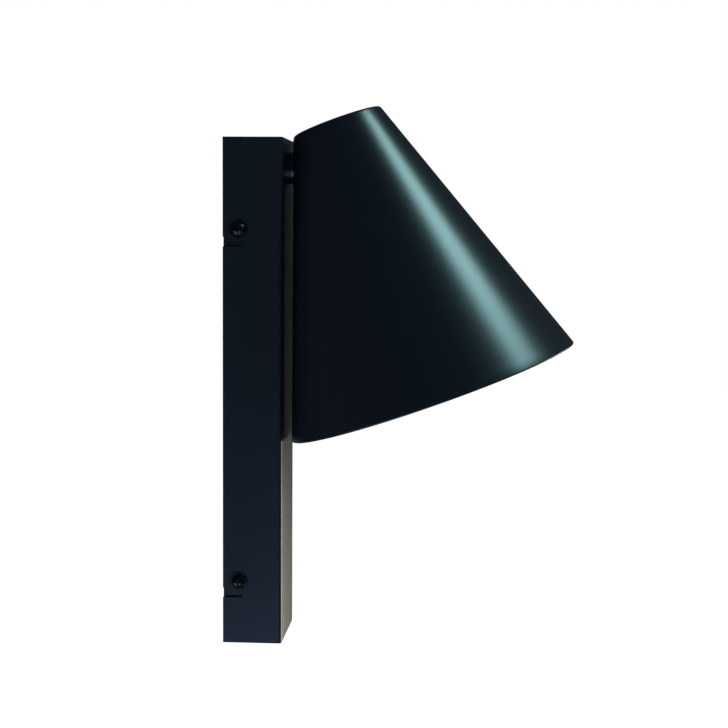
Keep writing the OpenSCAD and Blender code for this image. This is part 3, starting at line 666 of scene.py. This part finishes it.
earth_points = [(0, -3.2, -60.5), (0.3, -3.4, -58), (4, -5.5, -54), (11, -8, -49),
                (13.5, -8.5, -42), (13.5, -8.5, -28), (12.5, -8.3, -15), (10.5, -8, -6),
                (9.5, -8, 0), (9.5, -8, 4)]
core_r = 1.05
stripe = 1 / 30
live = swept_tube(core_points(-9.5, -1.26, 0.756), core_r, 16)
neutral = swept_tube(core_points(0, 0, -1.386), core_r, 16)
earth = swept_tube(core_points(9.5, 1.26, 0.756), core_r, 16, stripe_turn=stripe)
bond = swept_tube(earth_points, core_r, 16, stripe_turn=stripe)
make_piece("live_core", live, "core_live", (pvc_brown,))
make_piece("neutral_core", neutral, "core_neutral", (pvc_blue,))
make_piece("earth_core", earth, "core_earth", (pvc_green, pvc_yellow))
make_piece("earth_bond", bond, "earth_wire", (pvc_green, pvc_yellow))
print("core faces:", sum(len(m.polygons) for m in (live, neutral, earth, bond)))

# %% [markdown]
# ## Wave spring
# A three-wave spring washer keeps the friction of the swivel even. It is a flat ring, 0.4 mm
# thick, pressed into three waves.

# %% Wave spring
def wave_washer(inner, outer, thick, height, waves=3, turns=120):
    shape = bmesh.new()
    corners = [(inner, 0), (outer, 0), (outer, thick), (inner, thick)]
    back = -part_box("wave_spring")[1].y / mm
    rings = []
    for radius, lift in corners:
        along = [back + lift + (height - thick) / 2 * (1 + cos(waves * 2 * pi * k / turns))
                 for k in range(turns)]
        rings.append([shape.verts.new(pivot_place @ (Vector((
            radius * cos(2 * pi * k / turns), radius * sin(2 * pi * k / turns),
            along[k])) * mm)) for k in range(turns)])
    for upper, lower in zip(rings, rings[1:] + rings[:1]):
        for k in range(turns):
            j = (k + 1) % turns
            shape.faces.new([upper[k], upper[j], lower[j], lower[k]])
    bmesh.ops.recalc_face_normals(shape, faces=shape.faces)
    mesh = bpy.data.meshes.new("wave")
    shape.to_mesh(mesh)
    shape.free()
    return mesh


make_piece("wave_spring_ring", wave_washer(5.3, 8, 0.4, 1.5), "wave_spring", (spring_steel,), 40)
print("spring made")

# %% [markdown]
# ## Small parts
# The rest of the small parts keep their exact shape and get rounded edges: the terminal block,
# the cord clamp, the rubber bush at the wall, the nuts and the washers. The thin washer between
# collar and saddle is black nylon, so the joint between them reads as a dark line.

# %% Small parts
rounded("terminal_block", 0.3, polycarbonate, angle=40)
rounded("cord_clamp", 0.4, nylon, angle=40)
rounded("cable_entry_bush", 0.35, rubber, angle=40)
rounded("earth_lug", 0.12, brass, segments=2, angle=40)
rounded("stop_washer", 0.1, zinc, segments=2, angle=40)
rounded("thrust_washer", 0.1, zinc, segments=2, angle=40)
rounded("stem_lock_nuts", 0.12, zinc, segments=2, angle=40)
rounded("tab_nuts", 0.12, zinc, segments=2, angle=40)
rounded("stem_end_bushes", 0.15, nylon, segments=2, angle=40)
rounded("outer_friction_washer", 0.06, black_nylon, segments=2, angle=40)
rounded("bulb_insulator", 0.2, phenolic, segments=2, angle=20)
rounded("bulb_contact", 0.15, nickel, segments=2, angle=30)

# %% [markdown]
# ## Finish of every slot
# The record names a slot for each part. Every part of the model gets its slot's finish, also the
# ones that a finished piece now stands for, so the model is complete without the pieces.

# %% Paint the model's own parts
finish_of_slot = {
    "powder_coat": coat, "black_zinc_screw": screw_black, "zinc_plate": zinc,
    "nickel_plate": nickel, "brass": brass, "black_bakelite": phenolic, "steatite": steatite,
    "white_plastic": polycarbonate, "nylon": nylon, "black_rubber": rubber,
    "cable_sheath": sheath, "core_brown": pvc_brown, "core_blue": pvc_blue,
    "core_green": pvc_green, "opal": opal, "spring_steel": spring_steel,
}
for node_name, node in nodes.items():
    node.data.materials.clear()
    node.data.materials.append(finish_of_slot[slot_of_node[node_name]])
shown = [name for name, node in nodes.items() if not node.hide_render]
print("parts shown as modelled:", shown)

# %% [markdown]
# ## Floor
# The picture is plain: a pale floor far below the light and nothing behind it. The floor is wide
# and matt, and it glows white, as a fully lit paper sweep does. It isn't mirrored in the glossy
# parts, so the dark coat stays dark.

# %% Floor
def paper_floor():
    material, tree, shader, place = start_material("matt_white_paper", Roughness=0.9, IOR=1.45)
    fibre = add_node(tree, "ShaderNodeTexNoise", Vector=place, Scale=grains_of(40), Detail=4.0)
    tone = add_node(tree, "ShaderNodeMix", {"data_type": "RGBA"}, _0=fibre.outputs["Fac"],
                    _6=linear("#fbfbfb"), _7=linear("#ffffff"))
    tree.links.new(tone.outputs[2], shader.inputs["Base Color"])
    shader.inputs["Emission Color"].default_value = (1.0, 1.0, 1.0, 1.0)
    shader.inputs["Emission Strength"].default_value = 1.0
    return material


floor_shape = bmesh.new()
bmesh.ops.create_grid(floor_shape, x_segments=8, y_segments=8, size=14.0)
floor_mesh = bpy.data.meshes.new("floor")
floor_shape.to_mesh(floor_mesh)
floor_shape.free()
floor_mesh.materials.append(paper_floor())
floor = bpy.data.objects.new("floor", floor_mesh)
bpy.context.scene.collection.objects.link(floor)
floor.location.z = -1.4
floor.visible_glossy = False
print("floor at", floor.location.z)

# %% [markdown]
# ## Light
# Five soft panels stand 3 m away in a dark studio. A panel is given by where it stands (degrees
# round the light from the room side towards +X, and degrees above the horizon), by the angle it
# fills, by its brightness and by its tint. The overhead key draws the long highlight down the
# shade, the near one fills the housing's side, and the others reach the front below the shade.

# %% Lamps
LAMP_DISTANCE = 3.0


def soft_light(name, azimuth, elevation, wide, tall, brightness, tint):
    turn, lift = radians(azimuth), radians(elevation)
    back = Vector((sin(turn) * cos(lift), -cos(turn) * cos(lift), sin(lift)))
    data = bpy.data.lights.new(name, "AREA")
    data.shape = "RECTANGLE"
    data.size = 2 * LAMP_DISTANCE * tan(radians(wide / 2))
    data.size_y = 2 * LAMP_DISTANCE * tan(radians(tall / 2))
    data.color = linear(tint)[:3]
    data.energy = brightness * pi * data.size * data.size_y
    lamp = bpy.data.objects.new(name, data)
    bpy.context.scene.collection.objects.link(lamp)
    lamp.location = Vector((0, -0.1, 0)) + LAMP_DISTANCE * back
    lamp.rotation_euler = (-back).to_track_quat("-Z", "Y").to_euler()
    lamp.visible_camera = False


soft_light("key_panel_overhead", 0, 50, 20, 15, 20, "#d4fff0")
soft_light("fill_panel_near_side", -110, -40, 80, 35, 4, "#d0dcff")
soft_light("front_panel", 30, 0, 30, 30, 3, "#ffffff")
soft_light("low_panel_far_side", 55, -20, 30, 20, 5, "#fff8d8")
soft_light("back_panel_far_side", 105, 0, 15, 30, 3, "#ffffff")

# %% [markdown]
# ## Surroundings
# The world is white where the camera sees it directly, and a dim bluish gradient for everything
# else, so that the dark coat stays dark and has a soft sky to reflect.

# %% World
world = bpy.data.worlds.new("plain_room")
bpy.context.scene.world = world
world.use_nodes = True
sky = world.node_tree
sky.nodes.clear()
direction = add_node(sky, "ShaderNodeTexCoord").outputs["Generated"]
split = add_node(sky, "ShaderNodeSeparateXYZ", Vector=direction)
ramp = add_node(sky, "ShaderNodeMapRange", Value=split.outputs["Z"], From_Min=-0.6, From_Max=0.9)
room = add_node(sky, "ShaderNodeMix", {"data_type": "RGBA"}, _0=ramp.outputs[0],
                _6=(0.010, 0.013, 0.016, 1.0), _7=(0.03, 0.035, 0.04, 1.0))
room_light = add_node(sky, "ShaderNodeBackground", Color=room.outputs[2], Strength=1.0)
backdrop = add_node(sky, "ShaderNodeBackground", Color=(1.0, 1.0, 1.0, 1.0), Strength=1.0)
seen = add_node(sky, "ShaderNodeLightPath").outputs["Is Camera Ray"]
mixed = add_node(sky, "ShaderNodeMixShader", _0=seen, _1=room_light.outputs[0],
                 _2=backdrop.outputs[0])
add_node(sky, "ShaderNodeOutputWorld", Surface=mixed.outputs[0])
bpy.context.scene.view_settings.view_transform = "Standard"
print("world ready")
